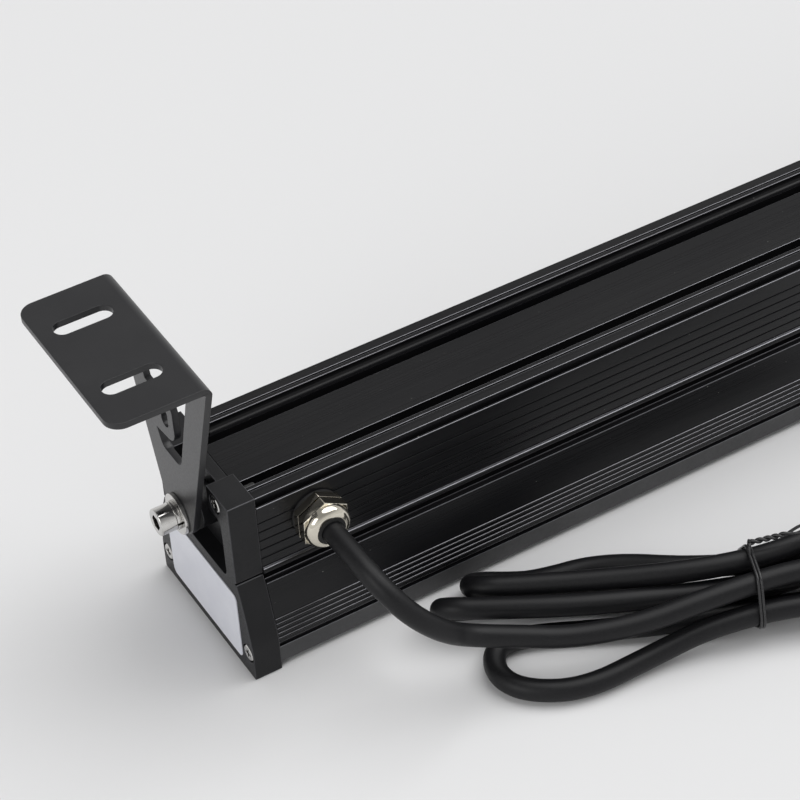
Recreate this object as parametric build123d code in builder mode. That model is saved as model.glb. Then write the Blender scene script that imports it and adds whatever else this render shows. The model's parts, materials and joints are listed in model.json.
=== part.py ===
# Linear floodlight lying lens down, with a tilting bracket and a slotted foot at each end, and a
# supply cord that leaves a gland in the near side and ends in a tied hank.
# Millimetres. X runs along the housing, +Z is up, and the origin lies on the surface it rests on,
# below the middle of the housing.
import os
from math import atan2, ceil, cos, pi, radians, sin, sqrt, tan

from build123d import *

os.makedirs("parts", exist_ok=True)

# Housing: an aluminium profile between two cast end caps
housing_length = 600.0
cap_thickness = 10.6
overrun = 5.0  # how far a cut runs past what it cuts

# Profile, half widths across Y and heights above the surface
lip_half = 33.2
lip_bottom = 2.3
lip_top = 9.7
lip_groove_height = 1.9
lip_groove_depth = 1.0
shoulder_bulge_half = 31.6
shoulder_bulge_height = 24.0
shoulder_top_half = 28.2
shoulder_top = 36.6
undercut_half = 25.4
undercut_step_half = 27.0
undercut_step_height = 1.4
wall_half = 26.6
bead_rise = 3.8  # from the shoulder up to the bead
bead_radius = 1.1
wall_rise = 27.8  # from the bead up to the wall's top edge
wall_lip = 1.0
ridge_outer_half = 24.4
ridge_inner_half = 17.8
ridge_rise = 2.4  # above the wall's top edge
side_slot_depth = 1.8
ridge_groove_half = 19.9
ridge_groove_width = 0.7
ridge_groove_depth = 0.5
plate_half = 11.3
plate_drop = 0.5  # below the wall's top edge
slot_depth = 4.9
slot_lip_half = 15.4
wall_groove_width = 0.6
wall_groove_depth = 0.35
wall_groove_pitch = 4.05
wall_groove_count = 6
wall_groove_start = 0.6  # above the bead
rib_radius = 0.45
rib_pitch = 2.07
rib_count = 5

# Profile, inside
wall = 2.0
web_bottom = 24.0
web_top = 27.0
chamber_top_half = 28.4
driver_bay_half = 27.6
roof_side_drop = 3.4  # below the wall's top edge
roof_screw_drop = 7.4
roof_screw_half = 20.6
lens_flange = 1.5
lens_opening_half = 24.4
lens_thickness = 4.0
lens_half = 26.0
lens_side_gap = 0.4
lens_over_gap = 0.3
lens_end_gap = 0.5
lens_seal = 0.6
lens_keeper = 1.2
lens_keeper_half = 25.0

# End cap
cap_rise = 4.7  # above the wall's top edge
cap_foot_half = 34.0
cap_skirt_height = 13.0
cap_shoulder_half = 28.5
cap_shoulder_drop = 1.1  # below the profile's shoulder
cap_flare_half = 31.7
cap_flare_height = 23.5
cap_ledge_drop = 0.4  # below the bead
cap_notch_height = 0.8
cap_notch_depth = 1.0
post_inner_half = 11.5
pocket_depth = 6.0
pocket_half = 20.0
pocket_below_pivot = 17.7
pocket_pad_drop = 5.9  # below the upper screws
pocket_radius = 3.0
pivot_boss_radius = 8.0
pivot_boss_proud = 0.8
cap_screw_upper_half = 16.9
cap_screw_rise = 5.5  # from the slot's floor up to the upper screws
cap_screw_lower_half = 29.9
cap_screw_lower_height = 10.0

# End cap screws, pan head
screw_radius = 1.85
screw_channel_radius = 2.0
screw_hole_radius = 2.2
screw_length = 13.0
screw_head_radius = 3.3
screw_head_height = 2.4
screw_sink_radius = 3.6
screw_sink_depth = 2.4
screw_cross_width = 0.9
screw_cross_length = 3.6
screw_cross_depth = 1.2

# Seal between cap and profile
gasket_thickness = 0.8
gasket_inset = 2.2
gasket_opening_half = 20.0
gasket_opening_bottom = 13.0
gasket_opening_drop = 10.5  # below the upper screws

# Bracket, one folded sheet at each end
pivot_drop = 14.0  # below the upper screws
bracket_sheet = 2.5
bracket_gap = 3.3  # from the cap's face to the leg
bracket_foot_length = 35.5
bracket_foot_half = 35.0
bracket_top = 137.5
leg_end_radius = 10.7
leg_end_rise = 3.5  # from the pivot up to the centre of the leg's round end
bend_outer_radius = 4.0
foot_corner_radius = 6.0
foot_slot_length = 21.0
foot_slot_width = 7.0
foot_slot_spacing = 35.0
foot_slot_out = 19.3  # from the leg's inner face to the middle of a slot
window_bottom = 80.1
window_top = 124.0
window_bottom_half = 6.8
window_top_half = 19.0
window_radius = 4.0
tongue_bottom = 89.0
tongue_top = 107.0
tongue_reach = 4.8  # how far the tongue passes the middle of the leg
tongue_radius = 3.0
tongue_slot_width = 5.0
tongue_slot_length = 11.0
tongue_slot_side = 1.8
tongue_slot_height = 97.5

# Pivot hardware
bolt_radius = 3.0
pivot_running_gap = 0.08
pivot_face_gap = 0.1
bolt_length = 16.0
bolt_head_radius = 5.0
bolt_head_height = 6.0
bolt_socket_width = 5.0
bolt_socket_depth = 3.0
bolt_head_round = 0.5
flat_washer_radius = 7.6
flat_washer_thickness = 1.5
spring_washer_radius = 5.3
spring_washer_thickness = 1.5
spring_washer_split = 1.0
washer_bore_gap = 0.2
insert_radius = 4.6
insert_length = 8.4

# Label, blank
label_half = 25.8
label_bottom = 4.2
label_top = 34.0
label_thickness = 0.3
label_radius = 2.5

# Light source on the underside of the web
board_end_gap = 9.4
board_half = 20.0
board_thickness = 1.6
led_count = 28
led_size = 3.5
led_height = 0.8
optic_radius = 7.0
optic_height = 6.0
optic_seat_gap = 0.3
optic_rim = 1.2
board_screw_radius = 1.5
board_screw_head_radius = 2.75
board_screw_head_height = 1.8
board_screw_depth = 2.6
board_screw_end = 20.0
board_screw_count = 5
board_screw_side = 15.0
wire_hole_radius = 3.0

# Driver on top of the web
driver_length = 170.0
driver_width = 36.0
driver_top_gap = 8.5
driver_wall = 1.5
driver_from_end = 240.0  # from the left end to the driver's middle
driver_board_thickness = 1.6
driver_board_rise = 3.0
driver_lid_thickness = 1.5
driver_ear = 9.0
driver_ear_thickness = 2.0
driver_screw_radius = 1.9
driver_screw_head_radius = 3.4
driver_screw_head_height = 2.2
driver_screw_depth = 2.6
driver_part_size = 14.0
driver_part_gap = 4.9
driver_capacitor_radius = 5.0

# Cable gland in the near wall, M14 with a 17 mm hexagon
gland_from_end = 32.2
gland_rise = 15.7  # above the bead
gland_thread_radius = 7.0
gland_bore_radius = 4.2
gland_hex = 17.0
gland_ring_thickness = 1.0
gland_ring_radius = 8.9
gland_body_hex_thickness = 3.0
gland_neck_length = 4.6
gland_nut_gap = 0.4
gland_nut_hex_thickness = 3.6
gland_dome_height = 3.8
gland_dome_mouth_radius = 5.3
gland_nut_bore_gap = 0.15
gland_seal_proud = 0.2
gland_seal_bore_gap = 0.1
gland_thread_proud = 1.0
gland_locknut_hex = 17.0
gland_locknut_thickness = 2.8
gland_hole_gap = 0.15

# Cord, 8 mm rubber with three conductors
cord_radius = 4.0
cord_inside = 8.0
conductor_radius = 1.3
conductor_pitch = 2.7
conductor_length = 45.0
stripped_radius = 0.75
stripped_length = 8.0
feed_wire_radius = 0.8
conductor_fan_share = 0.12
supply_pitch = 3.2
supply_bend = 14.0
supply_corner = 4.0

# Hank: its place, and the headings of its two halves, which bend at the tie
hank_middle_x = -139.0
hank_middle_y = -102.0
hank_left_turn = -30.25
hank_right_turn = -14.0
corner_fill = 0.45
tie_wire_radius = 0.6
tie_gap = 0.3
tie_turn_apart = 1.5
tie_tail_radius = 1.1
tie_tail_length = 24.0
tie_tail_rise = 3.0

# What the pieces at both ends share
half_length = housing_length / 2
profile_length = housing_length - 2 * cap_thickness
leg_face = bracket_gap + bracket_sheet
sides = {"left": -1, "right": 1}

# Heights, each from the one below it
bead_bottom = shoulder_top + bead_rise
bead_top = bead_bottom + 2 * bead_radius
wall_groove_first = bead_top + wall_groove_start
gland_height = bead_top + gland_rise
wall_top = bead_top + wall_rise
ridge_top = wall_top + ridge_rise
side_slot_floor = wall_top - side_slot_depth
plate_top = wall_top - plate_drop
slot_floor = plate_top - slot_depth
roof_side = wall_top - roof_side_drop
roof_screw = wall_top - roof_screw_drop
cap_height = wall_top + cap_rise
cap_shoulder_height = shoulder_top - cap_shoulder_drop
cap_ledge_top = bead_bottom - cap_ledge_drop
cap_screw_upper_height = slot_floor + cap_screw_rise
pivot_height = cap_screw_upper_height - pivot_drop
pocket_bottom = pivot_height - pocket_below_pivot
pocket_pad_bottom = cap_screw_upper_height - pocket_pad_drop
gasket_opening_top = cap_screw_upper_height - gasket_opening_drop


def end_plane(side, out=0):
    """The outer face of an end cap, or a plane further out: local x across, local y up."""
    way = sides[side]
    return Plane(origin=(way * (half_length + out), 0, 0), x_dir=(0, way, 0), z_dir=(way, 0, 0))


def write(part, name):
    part.label = name
    export_step(part, f"parts/{name}.step")


def cap_screw_places():
    upper = [(way * cap_screw_upper_half, cap_screw_upper_height) for way in (-1, 1)]
    lower = [(way * cap_screw_lower_half, cap_screw_lower_height) for way in (-1, 1)]
    return upper + lower


# Profile: one half outline from the middle of the roof, round the outside and back inside
lens_bottom = lip_bottom + lens_flange + lens_seal
lens_top = lens_bottom + lens_thickness
keeper_bottom = lens_top + lens_over_gap
keeper_top = keeper_bottom + lens_keeper
lens_slot_half = lens_half + lens_side_gap
lip_groove_half = lip_half - lip_groove_depth
shoulder_bottom = lip_top + lip_groove_height
channel_x = cap_screw_upper_half
channel_z = cap_screw_upper_height
channel_lip_z = channel_z - sqrt(screw_channel_radius**2 - (channel_x - slot_lip_half) ** 2)
channel_ridge_z = channel_z + sqrt(screw_channel_radius**2 - (ridge_inner_half - channel_x) ** 2)
bay_side = undercut_half - wall
driver_place = driver_from_end - half_length
board_length = profile_length - 2 * board_end_gap
board_screw_spacing = (board_length - 2 * board_screw_end) / (board_screw_count - 1)

with BuildPart() as housing_extrusion:
    with BuildSketch(Plane.YZ.offset(-profile_length / 2)):
        with BuildLine():
            Polyline(
                (0, plate_top), (plate_half, plate_top), (plate_half, slot_floor),
                (slot_lip_half, slot_floor), (slot_lip_half, channel_lip_z),
            )
            ThreePointArc(
                (slot_lip_half, channel_lip_z), (channel_x + screw_channel_radius, channel_z),
                (ridge_inner_half, channel_ridge_z),
            )
            Polyline(
                (ridge_inner_half, channel_ridge_z), (ridge_inner_half, ridge_top),
                (ridge_outer_half, ridge_top), (ridge_outer_half, side_slot_floor),
                (wall_half - wall_lip, side_slot_floor), (wall_half - wall_lip, wall_top),
                (wall_half, wall_top), (wall_half, bead_top),
            )
            ThreePointArc(
                (wall_half, bead_top), (wall_half + bead_radius, bead_bottom + bead_radius),
                (wall_half, bead_bottom),
            )
            Polyline(
                (wall_half, bead_bottom), (undercut_half, bead_bottom),
                (undercut_half, shoulder_top + undercut_step_height),
                (undercut_step_half, shoulder_top + undercut_step_height),
                (undercut_step_half, shoulder_top), (shoulder_top_half, shoulder_top),
            )
            ThreePointArc(
                (shoulder_top_half, shoulder_top), (shoulder_bulge_half, shoulder_bulge_height),
                (lip_half, shoulder_bottom),
            )
            Polyline(
                (lip_half, shoulder_bottom), (lip_groove_half, shoulder_bottom),
                (lip_groove_half, lip_top), (lip_half, lip_top), (lip_half, lip_bottom),
                (lens_opening_half, lip_bottom), (lens_opening_half, lip_bottom + lens_flange),
                (lens_slot_half, lip_bottom + lens_flange), (lens_slot_half, keeper_bottom),
                (lens_keeper_half, keeper_bottom), (lens_keeper_half, keeper_top),
                (lens_slot_half, keeper_top + (lens_slot_half - lens_keeper_half)),
                (chamber_top_half, web_bottom), (0, web_bottom),
            )
            Line((0, web_bottom), (0, plate_top))
        make_face()
        with BuildLine():
            Polyline(
                (0, web_top), (driver_bay_half, web_top), (bay_side, shoulder_top),
                (bay_side, bead_bottom), (wall_half - wall, bead_top),
                (wall_half - wall, roof_side), (roof_screw_half, roof_side),
                (roof_screw_half, roof_screw), (plate_half - wall, roof_screw),
                (plate_half - wall, plate_top - wall), (0, plate_top - wall), close=True,
            )
        make_face(mode=Mode.SUBTRACT)
        with Locations((cap_screw_lower_half, cap_screw_lower_height)):
            Circle(screw_channel_radius, mode=Mode.SUBTRACT)
        for groove in range(wall_groove_count):
            with Locations((wall_half, wall_groove_first + groove * wall_groove_pitch)):
                Rectangle(2 * wall_groove_depth, wall_groove_width, mode=Mode.SUBTRACT)
        with Locations((ridge_groove_half, ridge_top)):
            Rectangle(ridge_groove_width, 2 * ridge_groove_depth, mode=Mode.SUBTRACT)
        with BuildLine(mode=Mode.PRIVATE):
            shoulder = ThreePointArc(
                (lip_half, shoulder_bottom), (shoulder_bulge_half, shoulder_bulge_height),
                (shoulder_top_half, shoulder_top),
            )
        for rib in range(1, rib_count + 1):
            with Locations(shoulder @ (rib * rib_pitch / shoulder.length)):
                Circle(rib_radius)
        mirror(about=Plane.YZ)
    extrude(amount=profile_length)
    near_wall = Plane(
        origin=(gland_from_end - half_length, -wall_half, gland_height),
        x_dir=(1, 0, 0), z_dir=(0, -1, 0),
    )
    with BuildSketch(near_wall):
        Circle(gland_thread_radius + gland_hole_gap)
    extrude(amount=overrun, both=True, mode=Mode.SUBTRACT)
    web_screws = Plane(origin=(driver_place, 0, web_top))
    with BuildSketch(web_screws):
        with GridLocations(driver_length + driver_ear, 0, 2, 1):
            Circle(driver_screw_radius)
    extrude(amount=-driver_screw_depth, mode=Mode.SUBTRACT)
    with BuildSketch(Plane.XY.offset(web_bottom)):
        with GridLocations(board_screw_spacing, 2 * board_screw_side, board_screw_count, 2):
            Circle(board_screw_radius)
    extrude(amount=board_screw_depth, mode=Mode.SUBTRACT)
    with BuildSketch(Plane.XY.offset(web_bottom)):
        with Locations((driver_place + driver_length / 2 + 2 * driver_ear, 0)):
            Circle(wire_hole_radius)
    extrude(amount=web_top - web_bottom, mode=Mode.SUBTRACT)
write(housing_extrusion.part, "housing_extrusion")


def cap_outline():
    """Half of the end cap's outline, open at the middle."""
    notch_bottom = cap_ledge_top
    notch_top = cap_ledge_top + cap_notch_height
    Line((0, 0), (cap_foot_half, 0))
    Line((cap_foot_half, 0), (cap_foot_half, cap_skirt_height))
    ThreePointArc(
        (cap_foot_half, cap_skirt_height), (cap_flare_half, cap_flare_height),
        (cap_shoulder_half, cap_shoulder_height),
    )
    Polyline(
        (cap_shoulder_half, cap_shoulder_height), (wall_half, notch_bottom),
        (wall_half - cap_notch_depth, notch_bottom), (wall_half - cap_notch_depth, notch_top),
        (wall_half, notch_top), (wall_half, cap_height), (post_inner_half, cap_height),
        (post_inner_half, plate_top), (0, plate_top), (0, 0),
    )


def gasket_face():
    """The seal's face, set in from the profile all round, with its opening and screw holes."""
    upper_half = wall_half - gasket_inset
    lower_half = lip_half - gasket_inset
    inner_half = slot_lip_half - gasket_inset
    with BuildSketch() as face:
        with BuildLine():
            Polyline(
                (0, lip_bottom + gasket_inset), (lower_half, lip_bottom + gasket_inset),
                (lower_half, shoulder_bottom + gasket_inset),
                (shoulder_top_half - gasket_inset, shoulder_top), (upper_half, bead_bottom),
                (upper_half, ridge_top), (inner_half, ridge_top),
                (inner_half, plate_top - gasket_inset), (0, plate_top - gasket_inset), close=True,
            )
        make_face()
        mirror(about=Plane.YZ)
        with Locations((0, (gasket_opening_bottom + gasket_opening_top) / 2)):
            Rectangle(
                2 * gasket_opening_half, gasket_opening_top - gasket_opening_bottom,
                mode=Mode.SUBTRACT,
            )
        with Locations(*cap_screw_places()):
            Circle(screw_hole_radius, mode=Mode.SUBTRACT)
    return face.sketch


def make_end_cap(side):
    with BuildPart() as end_cap:
        with BuildSketch(end_plane(side)):
            with BuildLine():
                cap_outline()
            make_face()
            mirror(about=Plane.YZ)
        extrude(amount=-cap_thickness)
        with BuildSketch(end_plane(side)):
            with Locations((0, (pocket_bottom + pocket_pad_bottom) / 2)):
                RectangleRounded(2 * pocket_half, pocket_pad_bottom - pocket_bottom, pocket_radius)
            with Locations((0, (pocket_pad_bottom + cap_height) / 2)):
                Rectangle(
                    2 * post_inner_half, cap_height - pocket_pad_bottom + 2 * pocket_radius,
                )
        extrude(amount=-pocket_depth, mode=Mode.SUBTRACT)
        with BuildSketch(end_plane(side, -pocket_depth)):
            with Locations((0, pivot_height)):
                Circle(pivot_boss_radius)
        extrude(amount=pocket_depth + pivot_boss_proud)
        with BuildSketch(end_plane(side, pivot_boss_proud)):
            with Locations((0, pivot_height)):
                Circle(insert_radius)
        extrude(amount=-insert_length, mode=Mode.SUBTRACT)
        with BuildSketch(end_plane(side)):
            with Locations(*cap_screw_places()):
                Circle(screw_hole_radius)
        extrude(amount=-cap_thickness, mode=Mode.SUBTRACT)
        with BuildSketch(end_plane(side)):
            with Locations(*cap_screw_places()):
                Circle(screw_sink_radius)
        extrude(amount=-screw_sink_depth, mode=Mode.SUBTRACT)
        with BuildSketch(end_plane(side, -cap_thickness)):
            add(gasket_face())
        extrude(amount=gasket_thickness, mode=Mode.SUBTRACT)
    return end_cap.part


def make_gasket(side):
    with BuildPart() as gasket:
        with BuildSketch(end_plane(side, -cap_thickness)):
            add(gasket_face())
        extrude(amount=gasket_thickness)
    return gasket.part


def make_cap_screws(side):
    seat = end_plane(side, -screw_sink_depth)
    with BuildPart() as cap_screws:
        with BuildSketch(seat):
            with Locations(*cap_screw_places()):
                Circle(screw_radius)
        extrude(amount=-screw_length)
        with BuildSketch(seat):
            with Locations(*cap_screw_places()):
                Circle(screw_head_radius)
        extrude(amount=screw_head_height)
        crowns = cap_screws.faces().filter_by(Axis.X).sort_by(Axis.X)
        outer = crowns[-4:] if side == "right" else crowns[:4]
        chamfer(outer.edges(), screw_head_height / 4)
        with BuildSketch(end_plane(side, screw_head_height - screw_sink_depth)):
            with Locations(*cap_screw_places()):
                Rectangle(screw_cross_length, screw_cross_width)
                Rectangle(screw_cross_width, screw_cross_length)
        extrude(amount=-screw_cross_depth, mode=Mode.SUBTRACT)
    return cap_screws.part


def make_bracket(side):
    way = sides[side]
    across = Plane(
        origin=(way * half_length, 0, 0), x_dir=(way, 0, 0), z_dir=(0, -way, 0),
    )
    fold_inner = bend_outer_radius - bracket_sheet
    leg_bottom = pivot_height + leg_end_rise - leg_end_radius
    foot_end = bracket_gap + bracket_foot_length
    with BuildPart() as bracket:
        with BuildSketch(across):
            with BuildLine():
                Polyline(
                    (bracket_gap, leg_bottom), (bracket_gap, bracket_top - bend_outer_radius),
                )
                RadiusArc(
                    (bracket_gap, bracket_top - bend_outer_radius),
                    (bracket_gap + bend_outer_radius, bracket_top), bend_outer_radius,
                )
                Polyline(
                    (bracket_gap + bend_outer_radius, bracket_top), (foot_end, bracket_top),
                    (foot_end, bracket_top - bracket_sheet),
                    (bracket_gap + bend_outer_radius, bracket_top - bracket_sheet),
                )
                RadiusArc(
                    (bracket_gap + bend_outer_radius, bracket_top - bracket_sheet),
                    (leg_face, bracket_top - bracket_sheet - fold_inner), -fold_inner,
                )
                Polyline(
                    (leg_face, bracket_top - bracket_sheet - fold_inner), (leg_face, leg_bottom),
                    (bracket_gap, leg_bottom),
                )
            make_face()
        extrude(amount=bracket_foot_half, both=True)
        with BuildSketch(end_plane(side)):
            with Locations((0, pivot_height + leg_end_rise)):
                Circle(leg_end_radius)
            with Locations((0, bracket_top - bracket_sheet / 2)):
                Rectangle(2 * bracket_foot_half, bracket_sheet)
            make_hull()
        extrude(amount=foot_end + overrun, mode=Mode.INTERSECT)
        with BuildSketch(end_plane(side)):
            with Locations((0, pivot_height)):
                Circle(bolt_radius + pivot_running_gap)
        extrude(amount=leg_face + overrun, mode=Mode.SUBTRACT)
        with BuildSketch(end_plane(side)):
            with BuildLine():
                FilletPolyline(
                    (-window_bottom_half, window_bottom), (window_bottom_half, window_bottom),
                    (window_top_half, window_top), (-window_top_half, window_top),
                    radius=window_radius, close=True,
                )
            make_face()
        extrude(amount=leg_face + overrun, mode=Mode.SUBTRACT)
        tongue_root = window_top_half + wall
        with BuildSketch(end_plane(side, bracket_gap)):
            with Locations(((tongue_reach - tongue_root) / 2, (tongue_bottom + tongue_top) / 2)):
                RectangleRounded(
                    tongue_reach + tongue_root, tongue_top - tongue_bottom, tongue_radius,
                )
            with Locations((-tongue_slot_side, tongue_slot_height)):
                SlotOverall(tongue_slot_length, tongue_slot_width, rotation=90, mode=Mode.SUBTRACT)
        extrude(amount=bracket_sheet)
        with BuildSketch(Plane.XY.offset(bracket_top)):
            with Locations((way * (half_length + bracket_gap + foot_slot_out), 0)):
                with GridLocations(0, foot_slot_spacing, 1, 2):
                    SlotOverall(foot_slot_length, foot_slot_width)
        extrude(amount=-bracket_sheet, mode=Mode.SUBTRACT)
        corners = bracket.edges().filter_by(Axis.Z).sort_by(Axis.X)
        outer = corners[-2:] if side == "right" else corners[:2]
        fillet(outer, foot_corner_radius)
    return bracket.part


# Stack on the pivot, from the boss outwards
spacer_start = pivot_boss_proud
spacer_end = bracket_gap - pivot_face_gap
washer_start = leg_face + pivot_face_gap
spring_start = washer_start + flat_washer_thickness
head_start = spring_start + spring_washer_thickness


def make_ring(side, start, thickness, outer_radius, inner_radius):
    with BuildPart() as ring:
        with BuildSketch(end_plane(side, start)):
            with Locations((0, pivot_height)):
                Circle(outer_radius)
                Circle(inner_radius, mode=Mode.SUBTRACT)
        extrude(amount=thickness)
    return ring.part


def make_spring_washer(side):
    reach = 2 * spring_washer_radius
    with BuildPart() as spring_washer:
        add(make_ring(
            side, spring_start, spring_washer_thickness, spring_washer_radius,
            bolt_radius + washer_bore_gap,
        ))
        with BuildSketch(end_plane(side, spring_start)):
            with Locations((reach / 2, pivot_height)):
                Rectangle(reach, spring_washer_split)
        extrude(amount=spring_washer_thickness, mode=Mode.SUBTRACT)
    return spring_washer.part


def make_pivot_bolt(side):
    with BuildPart() as pivot_bolt:
        with BuildSketch(end_plane(side, head_start)):
            with Locations((0, pivot_height)):
                Circle(bolt_radius)
        extrude(amount=-bolt_length)
        with BuildSketch(end_plane(side, head_start)):
            with Locations((0, pivot_height)):
                Circle(bolt_head_radius)
        extrude(amount=bolt_head_height)
        ends = pivot_bolt.faces().sort_by(Axis.X)
        crown = ends[-1] if side == "right" else ends[0]
        fillet(crown.edges(), bolt_head_round)
        with BuildSketch(end_plane(side, head_start + bolt_head_height)):
            with Locations((0, pivot_height)):
                RegularPolygon(bolt_socket_width / 2, 6, major_radius=False)
        extrude(amount=-bolt_socket_depth, mode=Mode.SUBTRACT)
    return pivot_bolt.part


for side in sides:
    write(make_end_cap(side), f"end_cap_{side}")
    write(make_gasket(side), f"end_cap_gasket_{side}")
    write(make_cap_screws(side), f"end_cap_screws_{side}")
    write(make_bracket(side), f"bracket_{side}")
    write(
        make_ring(
            side, spacer_start, spacer_end - spacer_start, pivot_boss_radius,
            bolt_radius + pivot_running_gap,
        ),
        f"friction_washer_{side}",
    )
    write(
        make_ring(
            side, washer_start, flat_washer_thickness, flat_washer_radius,
            bolt_radius + washer_bore_gap,
        ),
        f"flat_washer_{side}",
    )
    write(make_spring_washer(side), f"spring_washer_{side}")
    write(make_pivot_bolt(side), f"pivot_bolt_{side}")
    write(
        make_ring(
            side, pivot_boss_proud - insert_length, insert_length, insert_radius,
            bolt_radius + pivot_running_gap,
        ),
        f"pivot_insert_{side}",
    )

with BuildPart() as rating_label:
    with BuildSketch(end_plane("left")):
        with Locations((0, (label_bottom + label_top) / 2)):
            RectangleRounded(2 * label_half, label_top - label_bottom, label_radius)
    extrude(amount=label_thickness)
write(rating_label.part, "rating_label")

# Lens and its two sealing strips in the profile's slots
lens_length = profile_length - 2 * lens_end_gap
with BuildPart() as lens_glass:
    with BuildSketch(Plane.XY.offset(lens_bottom)):
        Rectangle(lens_length, 2 * lens_half)
    extrude(amount=lens_thickness)
write(lens_glass.part, "lens_glass")

seal_width = lens_half - lens_opening_half
with BuildPart() as lens_seal_strips:
    with BuildSketch(Plane.XY.offset(lens_bottom - lens_seal)):
        with GridLocations(0, 2 * lens_half - seal_width, 1, 2):
            Rectangle(lens_length, seal_width)
    extrude(amount=lens_seal)
write(lens_seal_strips.part, "lens_seal_strips")

# Board with its chips, lenses and screws, hung from the web
board_bottom = web_bottom - board_thickness
with BuildPart() as led_board:
    with BuildSketch(Plane.XY.offset(board_bottom)):
        Rectangle(board_length, 2 * board_half)
        with GridLocations(board_screw_spacing, 2 * board_screw_side, board_screw_count, 2):
            Circle(board_screw_radius, mode=Mode.SUBTRACT)
    extrude(amount=board_thickness)
write(led_board.part, "led_board")

led_pitch = board_length / led_count
with BuildPart() as led_chips:
    with BuildSketch(Plane.XY.offset(board_bottom - led_height)):
        with GridLocations(led_pitch, 0, led_count, 1):
            Rectangle(led_size, led_size)
    extrude(amount=led_height)
write(led_chips.part, "led_chips")

with BuildPart() as optic_lenses:
    with BuildSketch(Plane.XY.offset(board_bottom - optic_height)):
        with GridLocations(led_pitch, 0, led_count, 1):
            Circle(optic_radius)
    extrude(amount=optic_height)
    with BuildSketch(Plane.XY.offset(board_bottom)):
        with GridLocations(led_pitch, 0, led_count, 1):
            Circle(optic_radius - optic_rim)
    extrude(amount=-led_height - optic_seat_gap, mode=Mode.SUBTRACT)
    fillet(optic_lenses.faces().group_by(Axis.Z)[0].edges(), optic_rim)
write(optic_lenses.part, "optic_lenses")

with BuildPart() as led_board_screws:
    with BuildSketch(Plane.XY.offset(board_bottom - board_screw_head_height)):
        with GridLocations(board_screw_spacing, 2 * board_screw_side, board_screw_count, 2):
            Circle(board_screw_head_radius)
    extrude(amount=board_screw_head_height)
    with BuildSketch(Plane.XY.offset(board_bottom)):
        with GridLocations(board_screw_spacing, 2 * board_screw_side, board_screw_count, 2):
            Circle(board_screw_radius)
    extrude(amount=board_thickness + board_screw_depth)
write(led_board_screws.part, "led_board_screws")

# Driver: an open case with ears, its board and parts, and its lid
driver_height = roof_screw - web_top - driver_lid_thickness - driver_top_gap
case_plane = Plane(origin=(driver_place, 0, web_top))
with BuildPart() as driver_case:
    with BuildSketch(case_plane):
        Rectangle(driver_length, driver_width)
    extrude(amount=driver_height)
    with BuildSketch(case_plane):
        Rectangle(driver_length + 2 * driver_ear, driver_width / 2)
        with GridLocations(driver_length + driver_ear, 0, 2, 1):
            Circle(driver_screw_radius, mode=Mode.SUBTRACT)
    extrude(amount=driver_ear_thickness)
    with BuildSketch(case_plane.offset(driver_wall)):
        Rectangle(driver_length - 2 * driver_wall, driver_width - 2 * driver_wall)
    extrude(amount=driver_height, mode=Mode.SUBTRACT)
write(driver_case.part, "driver_case")

with BuildPart() as driver_board:
    with BuildSketch(case_plane.offset(driver_wall)):
        with GridLocations(driver_length - 6 * driver_board_rise, driver_width / 2, 2, 2):
            Circle(driver_board_rise)
    extrude(amount=driver_board_rise)
    with BuildSketch(case_plane.offset(driver_wall + driver_board_rise)):
        Rectangle(driver_length - 3 * driver_wall, driver_width - 3 * driver_wall)
    extrude(amount=driver_board_thickness)
write(driver_board.part, "driver_board")

board_face = driver_wall + driver_board_rise + driver_board_thickness
driver_part_height = driver_height - board_face - driver_part_gap
with BuildPart() as driver_components:
    with BuildSketch(case_plane.offset(board_face)):
        with GridLocations(3 * driver_part_size, 0, 3, 1):
            Rectangle(2 * driver_part_size, driver_part_size)
    extrude(amount=driver_part_height)
    with BuildSketch(case_plane.offset(board_face)):
        with GridLocations(driver_length - 2 * driver_part_size, driver_part_size, 2, 2):
            Circle(driver_capacitor_radius)
    extrude(amount=driver_part_height)
write(driver_components.part, "driver_components")

with BuildPart() as driver_lid:
    with BuildSketch(case_plane.offset(driver_height)):
        Rectangle(driver_length, driver_width)
    extrude(amount=driver_lid_thickness)
write(driver_lid.part, "driver_lid")

with BuildPart() as driver_screws:
    with BuildSketch(case_plane.offset(driver_ear_thickness)):
        with GridLocations(driver_length + driver_ear, 0, 2, 1):
            Circle(driver_screw_head_radius)
    extrude(amount=driver_screw_head_height)
    with BuildSketch(case_plane.offset(driver_ear_thickness)):
        with GridLocations(driver_length + driver_ear, 0, 2, 1):
            Circle(driver_screw_radius)
    extrude(amount=-driver_ear_thickness - driver_screw_depth)
write(driver_screws.part, "driver_screws")

# Gland, from the locknut inside the wall to the mouth of its domed nut
gland_thread_length = wall + gland_locknut_thickness + gland_thread_proud
neck_start = gland_ring_thickness + gland_body_hex_thickness
neck_end = neck_start + gland_neck_length
nut_start = neck_start + gland_nut_gap
nut_hex_end = nut_start + gland_nut_hex_thickness
gland_mouth = nut_hex_end + gland_dome_height

with BuildPart() as gland_ring:
    with BuildSketch(near_wall):
        Circle(gland_ring_radius)
        Circle(gland_thread_radius + gland_hole_gap, mode=Mode.SUBTRACT)
    extrude(amount=gland_ring_thickness)
write(gland_ring.part, "gland_ring")

with BuildPart() as gland_body:
    with BuildSketch(near_wall.offset(-gland_thread_length)):
        Circle(gland_thread_radius)
    extrude(amount=gland_thread_length + neck_end)
    with BuildSketch(near_wall.offset(gland_ring_thickness)):
        RegularPolygon(gland_hex / 2, 6, major_radius=False, rotation=30)
    extrude(amount=gland_body_hex_thickness)
    with BuildSketch(near_wall.offset(-gland_thread_length)):
        Circle(gland_bore_radius)
    extrude(amount=gland_thread_length + neck_end, mode=Mode.SUBTRACT)
write(gland_body.part, "gland_body")

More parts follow.
